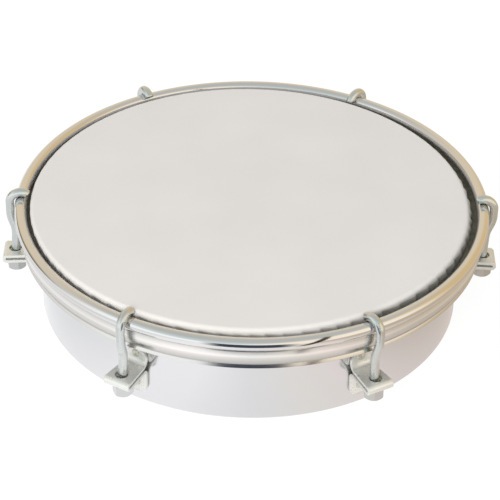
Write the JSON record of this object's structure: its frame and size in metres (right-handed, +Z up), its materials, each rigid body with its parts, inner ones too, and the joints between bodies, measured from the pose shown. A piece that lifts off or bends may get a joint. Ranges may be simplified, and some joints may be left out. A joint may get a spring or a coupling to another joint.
{
  "type": "tamborim",
  "caption": "Small shallow hand drum: rolled metal shell, glued film head in a channel hoop and a round counter hoop drawn down by hook bolts in folded lug brackets.",
  "frame": {"origin": "on the drum's axis, in the plane of the shell's lower rim", "axes": "+Z up out of the head along the drum's axis, +X through the first of the evenly spaced hooks, the picture taken from the -Y side"},
  "size_m": [0.1812, 0.1722, 0.0438],
  "materials": {
    "shell_chrome": "polished",
    "film": "satin",
    "hoop_aluminium": "satin",
    "resin": "matte",
    "rod_chrome": "polished",
    "hook_chrome": "polished",
    "nut_plating": "bright plated",
    "bracket_chrome": "polished",
    "rivet_steel": "satin"
  },
  "bodies": {
    "drum_shell": {"shell": "shell_chrome", "lug_bracket_1": "bracket_chrome", "lug_bracket_2": "bracket_chrome", "lug_bracket_3": "bracket_chrome", "lug_bracket_4": "bracket_chrome", "lug_bracket_5": "bracket_chrome", "lug_bracket_6": "bracket_chrome", "upper_rivet_1": "rivet_steel", "upper_rivet_2": "rivet_steel", "upper_rivet_3": "rivet_steel", "upper_rivet_4": "rivet_steel", "upper_rivet_5": "rivet_steel", "upper_rivet_6": "rivet_steel", "lower_rivet_1": "rivet_steel", "lower_rivet_2": "rivet_steel", "lower_rivet_3": "rivet_steel", "lower_rivet_4": "rivet_steel", "lower_rivet_5": "rivet_steel", "lower_rivet_6": "rivet_steel"},
    "hoop": {"counter_hoop": "rod_chrome"},
    "head": {"head_film": "film", "flesh_hoop": "hoop_aluminium", "hoop_resin": "resin"},
    "hook_1": {"hook_bolt_1": "hook_chrome"},
    "nut_1": {"tuning_nut_1": "nut_plating"},
    "hook_2": {"hook_bolt_2": "hook_chrome"},
    "nut_2": {"tuning_nut_2": "nut_plating"},
    "hook_3": {"hook_bolt_3": "hook_chrome"},
    "nut_3": {"tuning_nut_3": "nut_plating"},
    "hook_4": {"hook_bolt_4": "hook_chrome"},
    "nut_4": {"tuning_nut_4": "nut_plating"},
    "hook_5": {"hook_bolt_5": "hook_chrome"},
    "nut_5": {"tuning_nut_5": "nut_plating"},
    "hook_6": {"hook_bolt_6": "hook_chrome"},
    "nut_6": {"tuning_nut_6": "nut_plating"}
  },
  "joints": [
    {"name": "hoop_travel", "type": "slide", "parent": "drum_shell", "child": "hoop", "axis": [0, 0, 1], "range_m": [0, 0.00317]},
    {"name": "head_travel", "type": "slide", "parent": "drum_shell", "child": "head", "axis": [0, 0, 1], "range_m": [0, 0.00317]},
    {"name": "hook_travel_1", "type": "slide", "parent": "drum_shell", "child": "hook_1", "axis": [0, 0, 1], "range_m": [0, 0.00317]},
    {"name": "nut_turn_1", "type": "hinge", "parent": "drum_shell", "child": "nut_1", "pos_m": [0.0859, 0, 0.0122], "axis": [0, 0, -1], "range_deg": [0, 1800.1]},
    {"name": "hook_travel_2", "type": "slide", "parent": "drum_shell", "child": "hook_2", "axis": [0, 0, 1], "range_m": [0, 0.00317]},
    {"name": "nut_turn_2", "type": "hinge", "parent": "drum_shell", "child": "nut_2", "pos_m": [0.04295, 0.07439, 0.0122], "axis": [0, 0, -1], "range_deg": [0, 1800.1]},
    {"name": "hook_travel_3", "type": "slide", "parent": "drum_shell", "child": "hook_3", "axis": [0, 0, 1], "range_m": [0, 0.00317]},
    {"name": "nut_turn_3", "type": "hinge", "parent": "drum_shell", "child": "nut_3", "pos_m": [-0.04295, 0.07439, 0.0122], "axis": [0, 0, -1], "range_deg": [0, 1800.1]},
    {"name": "hook_travel_4", "type": "slide", "parent": "drum_shell", "child": "hook_4", "axis": [0, 0, 1], "range_m": [0, 0.00317]},
    {"name": "nut_turn_4", "type": "hinge", "parent": "drum_shell", "child": "nut_4", "pos_m": [-0.0859, 0, 0.0122], "axis": [0, 0, -1], "range_deg": [0, 1800.1]},
    {"name": "hook_travel_5", "type": "slide", "parent": "drum_shell", "child": "hook_5", "axis": [0, 0, 1], "range_m": [0, 0.00317]},
    {"name": "nut_turn_5", "type": "hinge", "parent": "drum_shell", "child": "nut_5", "pos_m": [-0.04295, -0.07439, 0.0122], "axis": [0, 0, -1], "range_deg": [0, 1800.1]},
    {"name": "hook_travel_6", "type": "slide", "parent": "drum_shell", "child": "hook_6", "axis": [0, 0, 1], "range_m": [0, 0.00317]},
    {"name": "nut_turn_6", "type": "hinge", "parent": "drum_shell", "child": "nut_6", "pos_m": [0.04295, -0.07439, 0.0122], "axis": [0, 0, -1], "range_deg": [0, 1800.1]}
  ],
  "couplings": [
    {"joint": "head_travel", "follows": "hoop_travel", "ratio": 1},
    {"joint": "hook_travel_1", "follows": "hoop_travel", "ratio": 1},
    {"joint": "nut_turn_1", "follows": "hoop_travel", "rad_per_m": 9894.8},
    {"joint": "hook_travel_2", "follows": "hoop_travel", "ratio": 1},
    {"joint": "nut_turn_2", "follows": "hoop_travel", "rad_per_m": 9894.8},
    {"joint": "hook_travel_3", "follows": "hoop_travel", "ratio": 1},
    {"joint": "nut_turn_3", "follows": "hoop_travel", "rad_per_m": 9894.8},
    {"joint": "hook_travel_4", "follows": "hoop_travel", "ratio": 1},
    {"joint": "nut_turn_4", "follows": "hoop_travel", "rad_per_m": 9894.8},
    {"joint": "hook_travel_5", "follows": "hoop_travel", "ratio": 1},
    {"joint": "nut_turn_5", "follows": "hoop_travel", "rad_per_m": 9894.8},
    {"joint": "hook_travel_6", "follows": "hoop_travel", "ratio": 1},
    {"joint": "nut_turn_6", "follows": "hoop_travel", "rad_per_m": 9894.8}
  ]
}
